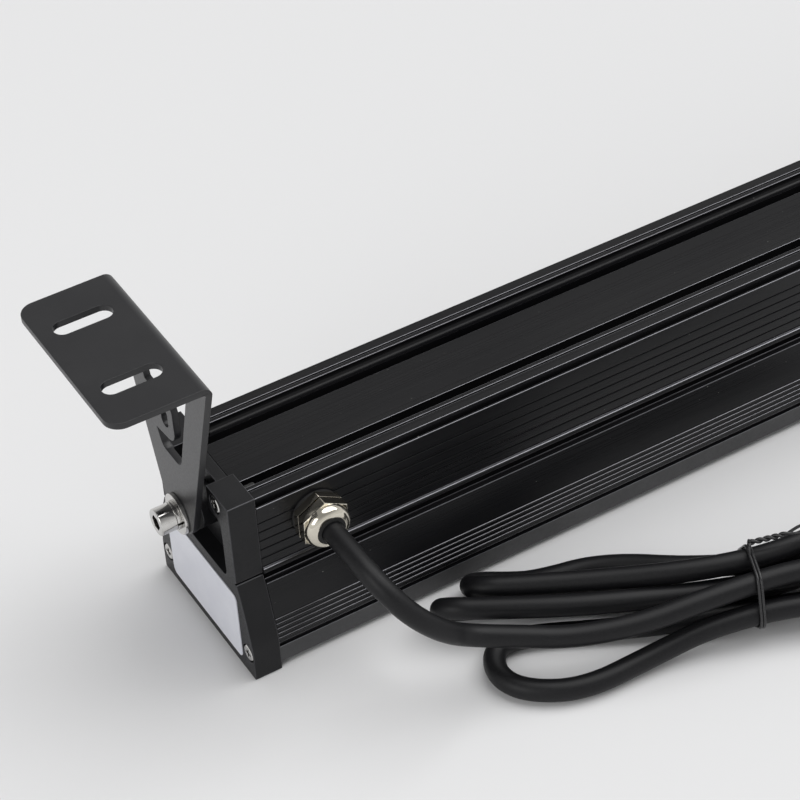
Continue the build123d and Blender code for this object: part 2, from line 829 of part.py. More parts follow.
with BuildPart() as gland_nut:
    with BuildSketch(near_wall.offset(nut_start)):
        RegularPolygon(gland_hex / 2, 6, major_radius=False, rotation=30)
    extrude(amount=gland_nut_hex_thickness)
    with BuildSketch(near_wall.offset(nut_hex_end)):
        Circle(gland_hex / 2)
    extrude(amount=gland_dome_height)
    fillet(gland_nut.faces().sort_by(Axis.Y)[0].edges(), gland_hex / 2 - gland_dome_mouth_radius)
    with BuildSketch(near_wall.offset(nut_start)):
        Circle(gland_thread_radius + gland_nut_bore_gap)
    extrude(amount=neck_end - nut_start, mode=Mode.SUBTRACT)
    with BuildSketch(near_wall.offset(nut_start)):
        Circle(gland_dome_mouth_radius)
    extrude(amount=gland_mouth + overrun, mode=Mode.SUBTRACT)
write(gland_nut.part, "gland_nut")

with BuildPart() as gland_seal:
    with BuildSketch(near_wall.offset(neck_end)):
        Circle(gland_dome_mouth_radius)
        Circle(cord_radius + gland_seal_bore_gap, mode=Mode.SUBTRACT)
    extrude(amount=gland_mouth + gland_seal_proud - neck_end)
write(gland_seal.part, "gland_seal")

with BuildPart() as gland_locknut:
    with BuildSketch(near_wall.offset(-wall)):
        RegularPolygon(gland_locknut_hex / 2, 6, major_radius=False)
        Circle(gland_thread_radius + gland_nut_bore_gap, mode=Mode.SUBTRACT)
    extrude(amount=-gland_locknut_thickness)
write(gland_locknut.part, "gland_locknut")


# Cord: rounded corners as large as the runs beside them allow
def corner_radii(points, fill):
    radii = []
    for before, corner, after in zip(points, points[1:], points[2:]):
        run_in = Vector(*corner) - Vector(*before)
        run_out = Vector(*after) - Vector(*corner)
        half_turn = radians(run_in.get_angle(run_out)) / 2
        radii.append(fill * min(run_in.length, run_out.length) / tan(half_turn))
    return radii


def hank_point(along, across, height):
    """A point of the hank, from the length and width directions of its left or right half."""
    turn = radians(hank_left_turn if along < 0 else hank_right_turn)
    x = hank_middle_x + along * cos(turn) - across * sin(turn)
    y = hank_middle_y + along * sin(turn) + across * cos(turn)
    return (x, y, height)


gland_x = gland_from_end - half_length
lead_points = [
    (gland_x, -wall_half + cord_inside, gland_height),
    (gland_x, -54.0, gland_height),
    (-266.0, -67.0, 54.5),
    (-260.0, -75.0, 45.0),
    (-250.0, -78.0, 34.0),
]

# Seven runs through the tie, two over three over two: the lead's run and the upper loop on the
# right, the first loop on the left, the middle loop on the right, the second loop on the left,
# the lower loop on the right, the third loop on the left and the free tail
hank_route = [
    (-82, -26.6, 20.9), (-64, -25, 17.6), (-40, -21, 18.4), (-16, -12.6, 21.2),
    (16, -4.6, 21.2), (56, -14, 22.9), (92, -20, 22.9), (106, -10, 22.9),
    (106, 12, 22.9), (92, 22, 22.9), (56, 15, 22.9), (16, 4.2, 21.9),
    (-16, 1.2, 21.2), (-55, 2, 17.2), (-96, 3.2, 15.5), (-101, 7, 12.2),
    (-101, 12.6, 7.5), (-96, 16.2, 4.2), (-52, 20.5, 6.5), (-16, 9.8, 13.2),
    (16, 8.6, 13.4), (50, 9, 13.7), (82, 14, 13.2), (93, 7, 13),
    (93, -8, 13), (82, -14, 13), (50, -6, 13.2), (16, -0.8, 13.3),
    (-16, -3.4, 13.2), (-60, -7.6, 13.4), (-105.7, -5.2, 14), (-109.5, -2.7, 11.1),
    (-109.5, 0.7, 6.9), (-105.7, 3.2, 4), (-58, 5.5, 4), (-16, 4.4, 5.5),
    (16, 3.4, 5.5), (62, 16, 4), (106, 27, 4), (123, 14, 4),
    (123, -10, 4), (106, -24, 4), (60, -13, 4), (16, -6, 5.5),
    (-16, -7, 5.5), (-50, -9.3, 4), (-82, -10.5, 4), (-91, -17, 4),
    (-90, -29, 4), (-80, -36.5, 4), (-60, -36.5, 4), (-36, -23.5, 5.5),
    (-14, -15, 10.6), (16, -12.9, 12.6), (46, -21, 9), (76, -31, 4),
]


def sweep_cord(points, radii, radius):
    with BuildPart() as cord:
        with BuildLine():
            path = FilletPolyline(*points, radius=radii)
        start = Plane(origin=path @ 0, z_dir=path % 0)
        with BuildSketch(start):
            Circle(radius)
        sweep(path=path)
    return cord.part, path


def report_route(name, part, line, radii, radius):
    section = pi * radius**2
    print(
        name, "length", round(line.length, 1), "least radius", round(min(radii), 1),
        "radii", [round(r) for r in radii],
        "volume over section times length", round(part.volume / (section * line.length), 4),
    )


def least_self_gap(line, radius, skip):
    """Least space between two stretches of one cord that are more than skip apart along it."""
    count = ceil(line.length / radius)
    points = [line @ (i / count) for i in range(count + 1)]
    step = line.length / count
    apart = ceil(skip / step)
    least = min(
        (points[i] - points[j]).length
        for i in range(count + 1)
        for j in range(i + apart, count + 1)
    )
    return least - 2 * radius


hank_points = [hank_point(*place) for place in hank_route]
hank_radii = corner_radii(hank_points, corner_fill)
hank_solid, hank_path = sweep_cord(hank_points, hank_radii, cord_radius)
report_route("hank", hank_solid, hank_path, hank_radii, cord_radius)
print("hank least self gap", round(least_self_gap(hank_path, cord_radius, 6 * cord_radius), 2))
write(hank_solid, "cord_hank")

# The lead ends on the line of the hank's first run, so that the two meet square
lead_ahead = Vector(*hank_points[0]) - Vector(*hank_points[1])
lead_last = Vector(*hank_points[0]) + lead_ahead
lead_points += [tuple(lead_last), hank_points[0]]
lead_radii = corner_radii(lead_points, corner_fill)
lead_solid, lead_path = sweep_cord(lead_points, lead_radii, cord_radius)
report_route("lead", lead_solid, lead_path, lead_radii, cord_radius)
write(lead_solid, "cord_lead")

# Three conductors fan out of the hank's free end, bare at their tips
tail_end = hank_path @ 1
tail_way = Vector((hank_path % 1).X, (hank_path % 1).Y, 0).normalized()
tail_side = tail_way.cross(Vector(0, 0, 1))
conductor_fall = (tail_end.Z - conductor_radius) / (conductor_length + stripped_length)


def conductor_plane(place, out=0):
    heading = tail_way + tail_side * (place * conductor_fan_share)
    heading = (heading - Vector(0, 0, conductor_fall)).normalized()
    start = tail_end + tail_side * (place * conductor_pitch)
    return Plane(origin=start + heading * out, z_dir=heading)


with BuildPart() as cord_conductors:
    for place in (-1, 0, 1):
        with BuildSketch(conductor_plane(place, tie_gap)):
            Circle(conductor_radius)
        extrude(amount=conductor_length)
write(cord_conductors.part, "cord_conductors")

with BuildPart() as conductor_cores:
    for place in (-1, 0, 1):
        with BuildSketch(conductor_plane(place, conductor_length + tie_gap)):
            Circle(stripped_radius)
        extrude(amount=stripped_length)
write(conductor_cores.part, "conductor_cores")

# Tie: two turns of wire that hug the runs through the waist, and a twisted tail on top
tie_heading = radians((hank_left_turn + hank_right_turn) / 2)
tie_plane = Plane(
    origin=(hank_middle_x, hank_middle_y, 0), x_dir=(-sin(tie_heading), cos(tie_heading), 0),
    z_dir=(cos(tie_heading), sin(tie_heading), 0),
)
local_points = [tie_plane.to_local_coords(Vector(*place)) for place in hank_points]
waist_places = [
    before + (after - before) * (before.Z / (before.Z - after.Z))
    for before, after in zip(local_points, local_points[1:])
    if before.Z * after.Z < 0
]
tie_reach = cord_radius + tie_gap + tie_wire_radius


def sweep_wire(points, radius, corner, closed=False):
    with BuildPart() as wire:
        with BuildLine():
            path = FilletPolyline(*points, radius=corner, close=closed)
        with BuildSketch(Plane(origin=path @ 0, z_dir=path % 0)):
            Circle(radius)
        sweep(path=path)
    return wire.part


def wrap_corners(places, reach):
    """Corners of an outline that runs outside some places, as far from them as reach."""
    centre = sum(places, Vector()) / len(places)
    ring = sorted(places, key=lambda place: atan2(place.Y - centre.Y, place.X - centre.X))
    outer = [
        here for before, here, after in zip(ring[-1:] + ring, ring, ring[1:] + ring[:1])
        if (here - before).cross(after - here).Z > 0
    ]
    corners = []
    for before, here, after in zip(outer[-1:] + outer, outer, outer[1:] + outer[:1]):
        side_in = (here - before).cross(Vector(0, 0, 1)).normalized()
        side_out = (after - here).cross(Vector(0, 0, 1)).normalized()
        corners.append(here + (side_in + side_out) * (reach / (1 + side_in.dot(side_out))))
    return corners


tie_corners = wrap_corners([Vector(place.X, place.Y, 0) for place in waist_places], tie_reach)
with BuildPart() as cord_tie:
    for place in (-1, 1):
        turn_plane = tie_plane.offset(place * tie_turn_apart / 2)
        turn = [tuple(turn_plane.from_local_coords(corner)) for corner in tie_corners]
        add(sweep_wire(turn, tie_wire_radius, tie_reach, closed=True))
    top = max(waist_places, key=lambda place: place.Y)
    knot = top.Y + tie_reach + tie_wire_radius
    tail = [
        (top.X, knot, 0), (top.X + tie_gap, knot + tie_gap, tie_tail_length / 3),
        (top.X, knot + tie_tail_rise, tie_tail_length),
    ]
    tail_points = [tuple(tie_plane.from_local_coords(Vector(*place))) for place in tail]
    add(sweep_wire(tail_points, tie_tail_radius, tie_tail_rise))
write(cord_tie.part, "cord_tie")

# Wires inside: from the cord to the driver, and from the driver down to the board
driver_left = driver_place - driver_length / 2
driver_right = driver_place + driver_length / 2
cord_start_y = -wall_half + cord_inside
wire_height = web_top + driver_height / 2
with BuildPart() as supply_wires:
    for place in (-1, 0, 1):
        step = place * supply_pitch
        add(sweep_wire(
            [
                (gland_x, cord_start_y, gland_height + step),
                (gland_x, cord_start_y + supply_bend, gland_height + step),
                (gland_x + 2 * supply_bend, 0, wire_height + supply_bend / 2 + step),
                (driver_left - supply_bend, 0, wire_height + step),
                (driver_left, 0, wire_height + step),
            ],
            conductor_radius, supply_corner,
        ))
write(supply_wires.part, "supply_wires")

feed_x = driver_right + 2 * driver_ear
with BuildPart() as feed_wires:
    for place in (-1, 1):
        step = place * (feed_wire_radius + tie_gap)
        add(sweep_wire(
            [
                (driver_right, step, wire_height), (feed_x, step, wire_height),
                (feed_x, step, web_bottom),
            ],
            feed_wire_radius, supply_corner,
        ))
write(feed_wires.part, "feed_wires")
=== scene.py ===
# Looks of the linear floodlight: its finishes, the rounded edges of its metal pieces, its supply
# cord with the tied hank, and a plain pale studio.
import json
from math import cos, pi, radians, sin

import bmesh
import bpy
from mathutils import Matrix, Vector

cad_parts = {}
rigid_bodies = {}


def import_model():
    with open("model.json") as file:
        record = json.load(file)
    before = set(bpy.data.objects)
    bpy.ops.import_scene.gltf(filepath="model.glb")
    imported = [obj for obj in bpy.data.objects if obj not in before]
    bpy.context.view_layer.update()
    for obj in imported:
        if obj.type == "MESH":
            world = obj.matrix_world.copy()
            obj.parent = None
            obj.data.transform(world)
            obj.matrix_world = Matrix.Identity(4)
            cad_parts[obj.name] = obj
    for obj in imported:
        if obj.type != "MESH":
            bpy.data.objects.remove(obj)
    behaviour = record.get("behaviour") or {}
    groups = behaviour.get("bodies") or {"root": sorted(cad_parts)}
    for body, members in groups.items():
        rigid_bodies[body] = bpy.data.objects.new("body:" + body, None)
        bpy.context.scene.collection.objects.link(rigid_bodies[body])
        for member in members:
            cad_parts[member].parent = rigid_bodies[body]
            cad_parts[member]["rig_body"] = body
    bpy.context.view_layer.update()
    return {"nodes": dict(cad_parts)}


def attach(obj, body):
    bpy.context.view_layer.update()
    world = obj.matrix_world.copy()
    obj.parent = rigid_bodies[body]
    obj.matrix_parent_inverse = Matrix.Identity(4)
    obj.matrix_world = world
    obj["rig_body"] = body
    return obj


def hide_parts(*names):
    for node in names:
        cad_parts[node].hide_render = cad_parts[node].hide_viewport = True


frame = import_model()
nodes = frame["nodes"]
mm = 0.001
print("frame loaded:", len(nodes), "nodes")


# Camera at the photograph's place
photoCamera = {
    "place": (-0.5519, -0.6080, 0.6729),
    "heading": 28.79,  # degrees from +Y towards +X
    "tilt": 41.27,  # degrees below the horizon
    "roll": -3.48,
    "focalPixels": 2635.8,
    "framePixels": 800,
    "sensorWidth": 36.0,
}


def placeCamera(settings):
    data = bpy.data.cameras.new("photoCamera")
    data.sensor_width = settings["sensorWidth"]
    data.lens = settings["focalPixels"] / settings["framePixels"] * settings["sensorWidth"]
    data.clip_start = 0.01
    data.clip_end = 50
    camera = bpy.data.objects.new("photoCamera", data)
    bpy.context.scene.collection.objects.link(camera)
    turn = Matrix.Rotation(-radians(settings["heading"]), 4, "Z")
    turn = turn @ Matrix.Rotation(radians(90 - settings["tilt"]), 4, "X")
    turn = turn @ Matrix.Rotation(radians(settings["roll"]), 4, "Z")
    camera.matrix_world = Matrix.Translation(settings["place"]) @ turn
    bpy.context.scene.camera = camera


placeCamera(photoCamera)
print("camera placed")


# Small helpers for finishes
def startFinish(name, color, roughness, metallic=0.0, specular=0.5):
    finish = bpy.data.materials.new(name)
    finish.use_nodes = True
    shader = finish.node_tree.nodes["Principled BSDF"]
    shader.inputs["Base Color"].default_value = (*color, 1)
    shader.inputs["Roughness"].default_value = roughness
    shader.inputs["Metallic"].default_value = metallic
    shader.inputs["Specular IOR Level"].default_value = specular
    return finish, shader


def addNode(finish, kind, values=None, **settings):
    node = finish.node_tree.nodes.new(kind)
    for key, value in settings.items():
        setattr(node, key, value)
    for key, value in (values or {}).items():
        node.inputs[key].default_value = value
    return node


def link(finish, source, target):
    finish.node_tree.links.new(source, target)


# Noise over the piece, stretched by scale in cycles a metre along X, Y and Z
def addNoise(finish, scale, detail=3.0, roughness=0.5):
    place = addNode(finish, "ShaderNodeTexCoord")
    stretch = addNode(finish, "ShaderNodeMapping", {"Scale": scale})
    noise = addNode(
        finish, "ShaderNodeTexNoise", {"Scale": 1.0, "Detail": detail, "Roughness": roughness}
    )
    link(finish, place.outputs["Object"], stretch.inputs["Vector"])
    link(finish, stretch.outputs["Vector"], noise.inputs["Vector"])
    return noise.outputs["Fac"]


# Bands of a noise's values that a finish uses
bands = {
    "roughness": (0.3, 0.7), "cloud": (0.35, 0.7), "grain": (0.4, 0.65), "polish": (0.3, 0.75),
    "smear": (0.4, 0.7), "speck": (0.79, 0.83),
}


# One band of a noise, spread over a new range
def spreadBand(finish, source, band, toLow=0, toHigh=1):
    low, high = bands[band]
    spread = addNode(
        finish, "ShaderNodeMapRange",
        {"From Min": low, "From Max": high, "To Min": toLow, "To Max": toHigh},
    )
    link(finish, source, spread.inputs["Value"])
    return spread.outputs["Result"]


def mixColors(finish, share, first, second):
    mix = addNode(finish, "ShaderNodeMix", data_type="RGBA")
    for socket, color in ((6, first), (7, second)):
        if isinstance(color, tuple):
            mix.inputs[socket].default_value = (*color, 1)
        else:
            link(finish, color, mix.inputs[socket])
    link(finish, share, mix.inputs[0])
    return mix.outputs[2]


def addBump(finish, shader, height, strength, distance):
    bump = addNode(finish, "ShaderNodeBump", {"Strength": strength, "Distance": distance * mm})
    link(finish, height, bump.inputs["Height"])
    link(finish, bump.outputs["Normal"], shader.inputs["Normal"])


# Base colour that a noise's band mixes from a look's two colours
def mottle(finish, noise, band, look):
    return mixColors(finish, spreadBand(finish, noise, band), look["color"], look["pale"])


def varyRoughness(finish, shader, noise, look, band="roughness"):
    link(
        finish, spreadBand(finish, noise, band, *look["roughness"]), shader.inputs["Roughness"]
    )


# Satin black anodising on a drawn profile: die lines run along X, with a few pale specks
anodised = {
    "color": (0.005, 0.005, 0.006), "pale": (0.009, 0.009, 0.0098), "roughness": (0.25, 0.36),
    "specular": 0.23, "dieLines": (3, 2600, 2600), "cloud": (14, 40, 40),
    "speck": (900, 900, 900), "speckColor": (0.16, 0.16, 0.15), "bump": 0.12, "depth": 0.02,
}


def makeAnodised():
    finish, shader = startFinish(
        "anodisedProfile", anodised["color"], anodised["roughness"][0],
        specular=anodised["specular"],
    )
    lines = addNoise(finish, anodised["dieLines"], 2)
    cloud = addNoise(finish, anodised["cloud"], 4)
    speck = addNoise(finish, anodised["speck"], 1)
    base = mottle(finish, cloud, "cloud", anodised)
    dusty = mixColors(finish, spreadBand(finish, speck, "speck"), base, anodised["speckColor"])
    link(finish, dusty, shader.inputs["Base Color"])
    varyRoughness(finish, shader, lines, anodised)
    addBump(finish, shader, lines, anodised["bump"], anodised["depth"])
    return finish


# Fine grained powder coat on the cast end caps, a smoother one on the folded brackets, and a
# paler one on the profile's foot lip, whose paleness is painted light that the lip's face catches
powderCoats = {
    "capPowder": {
        "color": (0.005, 0.005, 0.006), "pale": (0.0085, 0.0085, 0.0095), "roughness": (0.34, 0.48),
        "grain": 1300, "bump": 0.3, "depth": 0.06, "specular": 0.25,
    },
    "bracketPowder": {
        "color": (0.008, 0.008, 0.0095), "pale": (0.012, 0.012, 0.0135), "roughness": (0.3, 0.38),
        "grain": 1500, "bump": 0.1, "depth": 0.04, "specular": 0.5,
    },
    "lipPowderPaintedLight": {
        "color": (0.035, 0.035, 0.037), "pale": (0.05, 0.05, 0.052), "roughness": (0.4, 0.55),
        "grain": 1100, "bump": 0.2, "depth": 0.05, "specular": 0.5,
    },
}
powderCloud = 60


def makePowderCoat(name):
    look = powderCoats[name]
    finish, shader = startFinish(
        name, look["color"], look["roughness"][0], specular=look["specular"]
    )
    grain = addNoise(finish, (look["grain"],) * 3, 2)
    cloud = addNoise(finish, (powderCloud,) * 3, 4)
    link(finish, mottle(finish, cloud, "cloud", look), shader.inputs["Base Color"])
    varyRoughness(finish, shader, grain, look)
    addBump(finish, shader, grain, look["bump"], look["depth"])
    return finish


# Bright metals, with a cloudy polish and hair scratches
metals = {
    "nickelScrew": {"color": (0.64, 0.63, 0.61), "roughness": (0.09, 0.16), "scratch": 0.015},
    "nickelGland": {"color": (0.68, 0.64, 0.55), "roughness": (0.06, 0.13), "scratch": 0.015},
    # A dark finish painted on the cap screws' shanks as the shade in the profile's channel
    "darkSteel": {"color": (0.05, 0.05, 0.05), "roughness": (0.35, 0.5), "scratch": 0.05},
    # This finish and the next paint highlights: on the profile's rounded edges, ribs and bead, and
    # more faintly on the cap's rounded edges; the edges are also worn
    "wornEdgeAndHighlight": {"color": (0.2, 0.2, 0.215), "roughness": (0.28, 0.4), "scratch": 0.03},
    "wornCapEdgeAndHighlight": {"color": (0.085, 0.085, 0.09), "roughness": (0.35, 0.5), "scratch": 0.03},
    "driverSheet": {"color": (0.55, 0.55, 0.56), "roughness": (0.3, 0.45), "scratch": 0.1},
    "tinnedCopper": {"color": (0.78, 0.42, 0.24), "roughness": (0.25, 0.4), "scratch": 0.1},
}
metalGrain = {"cloud": (400, 400, 400), "scratch": (900, 6000, 900), "depth": 0.02, "shade": 0.92}


def makeMetal(name):
    look = metals[name]
    finish, shader = startFinish(name, look["color"], look["roughness"][0], metallic=1.0)
    cloud = addNoise(finish, metalGrain["cloud"], 4)
    scratch = addNoise(finish, metalGrain["scratch"], 2)
    varyRoughness(finish, shader, cloud, look)
    shade = tuple(metalGrain["shade"] * part for part in look["color"])
    base = mixColors(finish, spreadBand(finish, cloud, "polish"), look["color"], shade)
    link(finish, base, shader.inputs["Base Color"])
    addBump(finish, shader, scratch, look["scratch"], metalGrain["depth"])
    return finish


# Plain stuffs: rubber, nylon, boards, wires, each with its own grain
plainStuffs = {
    "cordRubber": {
        "color": (0.005, 0.005, 0.006), "pale": (0.008, 0.008, 0.009), "roughness": (0.4, 0.5),
        "grain": (1400, 1400, 1400), "bump": 0.1, "depth": 0.05, "specular": 0.27,
    },
    "sealRubber": {
        "color": (0.012, 0.012, 0.012), "pale": (0.02, 0.02, 0.02), "roughness": (0.6, 0.75),
        "grain": (1500, 1500, 1500), "bump": 0.15, "depth": 0.05, "specular": 0.4,
    },
    "blackNylon": {
        "color": (0.02, 0.02, 0.02), "pale": (0.03, 0.03, 0.03), "roughness": (0.45, 0.6),
        "grain": (1200, 1200, 1200), "bump": 0.1, "depth": 0.04, "specular": 0.5,
    },
    "tiePlastic": {
        "color": (0.014, 0.014, 0.015), "pale": (0.025, 0.025, 0.026), "roughness": (0.25, 0.35),
        "grain": (1800, 1800, 1800), "bump": 0.1, "depth": 0.04, "specular": 0.5,
    },
    "circuitWhite": {
        "color": (0.8, 0.81, 0.8), "pale": (0.7, 0.72, 0.71), "roughness": (0.35, 0.5),
        "grain": (500, 500, 500), "bump": 0.04, "depth": 0.03, "specular": 0.5,
    },
    "boardGreen": {
        "color": (0.03, 0.16, 0.06), "pale": (0.04, 0.2, 0.08), "roughness": (0.3, 0.45),
        "grain": (700, 700, 700), "bump": 0.05, "depth": 0.03, "specular": 0.5,
    },
    "partBlack": {
        "color": (0.03, 0.03, 0.035), "pale": (0.05, 0.05, 0.055), "roughness": (0.35, 0.5),
        "grain": (800, 800, 800), "bump": 0.08, "depth": 0.03, "specular": 0.5,
    },
    "phosphor": {
        "color": (0.85, 0.6, 0.1), "pale": (0.9, 0.7, 0.2), "roughness": (0.5, 0.6),
        "grain": (1500, 1500, 1500), "bump": 0.05, "depth": 0.02, "specular": 0.4,
    },
    "wireBrown": {
        "color": (0.12, 0.045, 0.018), "pale": (0.15, 0.06, 0.025), "roughness": (0.35, 0.45),
        "grain": (1500, 1500, 1500), "bump": 0.05, "depth": 0.02, "specular": 0.5,
    },
    "wireBlue": {
        "color": (0.02, 0.06, 0.3), "pale": (0.03, 0.08, 0.36), "roughness": (0.35, 0.45),
        "grain": (1500, 1500, 1500), "bump": 0.05, "depth": 0.02, "specular": 0.5,
    },
    "wireGreen": {
        "color": (0.03, 0.25, 0.06), "pale": (0.62, 0.55, 0.03), "roughness": (0.35, 0.45),
        "grain": (150, 150, 150), "bump": 0.02, "depth": 0.02, "specular": 0.5,
    },
}


def makePlainStuff(name):
    look = plainStuffs[name]
    finish, shader = startFinish(
        name, look["color"], look["roughness"][0], specular=look["specular"]
    )
    grain = addNoise(finish, look["grain"], 3)
    link(finish, mottle(finish, grain, "grain", look), shader.inputs["Base Color"])
    varyRoughness(finish, shader, grain, look)
    addBump(finish, shader, grain, look["bump"], look["depth"])
    return finish


# Blank satin film of the label
labelFilm = {
    "color": (0.66, 0.67, 0.73), "pale": (0.71, 0.72, 0.77), "roughness": (0.3, 0.42),
    "cloud": (120, 120, 120), "bump": 0.08, "depth": 0.1,
}


def makeLabelFilm():
    finish, shader = startFinish("labelFilm", labelFilm["color"], labelFilm["roughness"][0])
    cloud = addNoise(finish, labelFilm["cloud"], 4)
    link(finish, mottle(finish, cloud, "cloud", labelFilm), shader.inputs["Base Color"])
    varyRoughness(finish, shader, cloud, labelFilm)
    addBump(finish, shader, cloud, labelFilm["bump"], labelFilm["depth"])
    return finish


# Clear glass of the lens, and the clear plastic of the small optics behind it
clearStuffs = {
    "lensGlass": {"color": (0.93, 0.97, 0.96), "roughness": (0.01, 0.04), "ior": 1.5},
    "opticClear": {"color": (0.96, 0.97, 0.97), "roughness": (0.02, 0.08), "ior": 1.49},
}
clearSmear = (60, 90, 90)


def makeClearStuff(name):
    look = clearStuffs[name]
    finish, shader = startFinish(name, look["color"], look["roughness"][0])
    shader.inputs["Transmission Weight"].default_value = 1.0
    shader.inputs["IOR"].default_value = look["ior"]
    smear = addNoise(finish, clearSmear, 3)
    varyRoughness(finish, shader, smear, look, "smear")
    return finish


finishes = {"anodisedProfile": makeAnodised(), "labelFilm": makeLabelFilm()}
finishes.update({name: makePowderCoat(name) for name in powderCoats})
finishes.update({name: makeMetal(name) for name in metals})
finishes.update({name: makePlainStuff(name) for name in plainStuffs})
finishes.update({name: makeClearStuff(name) for name in clearStuffs})
print("finishes made:", len(finishes))


def giveFinish(piece, name):
    piece.data.materials.clear()
    piece.data.materials.append(finishes[name])


def bodyOf(node):
    return nodes[node]["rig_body"]


# Looks by node, where a name that is no node stands for its left and its right one
def spreadSides(looks):
    spread = {}
    for name, look in looks.items():
        for node in [name] if name in nodes else [name + "_left", name + "_right"]:
            spread[node] = look
    return spread


def addPiece(name, data, finish, body, slot, *replaced):
    piece = bpy.data.objects.new(name, data)
    bpy.context.scene.collection.objects.link(piece)
    giveFinish(piece, finish)
    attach(piece, body)
    if replaced:
        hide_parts(*replaced)
    return piece


# Metal pieces whose outward corners get a small round: width in mm, finish and slot, then the
# finish of the worn edges with painted highlights, of the lip painted paler as light, or of a screw's
# shank painted dark as shade
softened = {
    "housing_extrusion": {
        "width": 0.22, "finish": "anodisedProfile", "slot": "profile", "edge": "wornEdgeAndHighlight",
        "lip": "lipPowderPaintedLight",
    },
    "end_cap": {"width": 0.3, "finish": "capPowder", "slot": "cap", "edge": "wornCapEdgeAndHighlight"},
    "bracket": {"width": 0.2, "finish": "bracketPowder", "slot": "bracket"},
    "pivot_bolt": {"width": 0.25, "finish": "nickelScrew", "slot": "fastener"},
    "flat_washer": {"width": 0.2, "finish": "nickelScrew", "slot": "fastener"},
    "spring_washer": {"width": 0.15, "finish": "nickelScrew", "slot": "fastener"},
    "end_cap_screws": {
        "width": 0.15, "finish": "nickelScrew", "slot": "fastener", "shank": "darkSteel",
    },
    "gland_body": {"width": 0.2, "finish": "nickelGland", "slot": "gland_metal"},
    "gland_nut": {"width": 0.25, "finish": "nickelGland", "slot": "gland_metal"},
}
# Weld distance in mm, then the bend in degrees that counts as flat and the one that gets a round
softening = {"weld": 0.002, "flat": 0.5, "sharp": 35.0, "segments": 2}
# A cap screw's faces nearer to the lamp's middle than this are its shank, which is painted dark as the
# shade in the profile's channel
shankFrom = 297.0
# Where the profile's worn edges, its ribs and bead with painted highlights, and its foot lip with
# painted light lie, as heights and distances in mm
profileHighlightAndWear = {
    "endFrom": 288.9, "grooveLow": 43.0, "grooveHigh": 66.0, "grooveSide": 20.0,
    "ribLow": 11.7, "ribHigh": 24.0, "beadLow": 40.3, "beadHigh": 42.8, "beadSide": 25.0,
    "stripWidth": 0.6, "stripLength": 578.0, "up": 0.8,
    "lipLow": 2.4, "lipHigh": 9.8, "lipSide": 32.9,
}

# Rounder window in each bracket's leg. Heights and half width of its bottom; sides and heights
# round the tongue's lower corners; side, height and radius of its free corner, old and new;
# side, half width and heights of the lower end of the tongue's slot
windowForm = {
    "bottom": (79.0, 85.0, 8.0), "bottomLift": 2.4,
    "corners": (1.7, 4.9, 88.9, 92.1),
    "corner": (-1.8, 92.0, 3.0), "newCorner": (1.2, 96.0, 6.0),
    "slot": (1.8, 2.6, 91.9, 95.0), "slotLift": 2.7,
}


def roundWindow(form):
    bottomLow, bottomHigh, bottomSide = windowForm["bottom"]
    cornerSide, cornerHeight, cornerRadius = windowForm["corner"]
    newSide, newHeight, newRadius = windowForm["newCorner"]
    slotSide, slotHalf, slotLow, slotHigh = windowForm["slot"]
    nearSide, farSide, lowest, highest = windowForm["corners"]
    scale = newRadius / cornerRadius
    corner = [
        vert for vert in form.verts
        if lowest < vert.co.z / mm < highest and nearSide < abs(vert.co.y / mm) < farSide
    ]
    if not corner:
        return
    free = 1 if sum(vert.co.y for vert in corner) > 0 else -1
    for vert in form.verts:
        side = vert.co.y / mm * -free
        height = vert.co.z / mm
        if bottomLow < height < bottomHigh and abs(side) < bottomSide:
            vert.co.z += windowForm["bottomLift"] * mm
        elif vert in corner and side < 0:
            vert.co.y = -free * (newSide + scale * (side - cornerSide)) * mm
            vert.co.z = (newHeight + scale * (height - cornerHeight)) * mm
        elif slotLow < height < slotHigh and abs(side - slotSide) < slotHalf:
            vert.co.z += windowForm["slotLift"] * mm


# Faces of the profile that get a painted highlight: its rounded edges, which are also worn, and the
# upward strips of its ribs and bead; and those of its lip, whose paler finish is painted light
def profileFaces(form, rounded):
    highlightPlaces = profileHighlightAndWear
    shining = []
    for face in rounded:
        place = face.calc_center_median() / mm
        groove = highlightPlaces["grooveLow"] < place.z < highlightPlaces["grooveHigh"] and abs(place.y) > highlightPlaces["grooveSide"]
        if not groove and abs(place.x) < highlightPlaces["endFrom"]:
            shining.append(face)
    lip = []
    for face in form.faces:
        place = face.calc_center_median() / mm
        outward = abs(place.y) > highlightPlaces["beadSide"] and face.normal.z > highlightPlaces["up"]
        strip = face.calc_area() < highlightPlaces["stripWidth"] * highlightPlaces["stripLength"] * mm * mm
        rib = highlightPlaces["ribLow"] < place.z < highlightPlaces["ribHigh"]
        bead = highlightPlaces["beadLow"] < place.z < highlightPlaces["beadHigh"]
        if outward and strip and (rib or bead) and abs(place.x) < highlightPlaces["endFrom"]:
            shining.append(face)
        if highlightPlaces["lipLow"] < place.z < highlightPlaces["lipHigh"] and abs(place.y) > highlightPlaces["lipSide"]:
            lip.append(face.index)
    return shining, lip


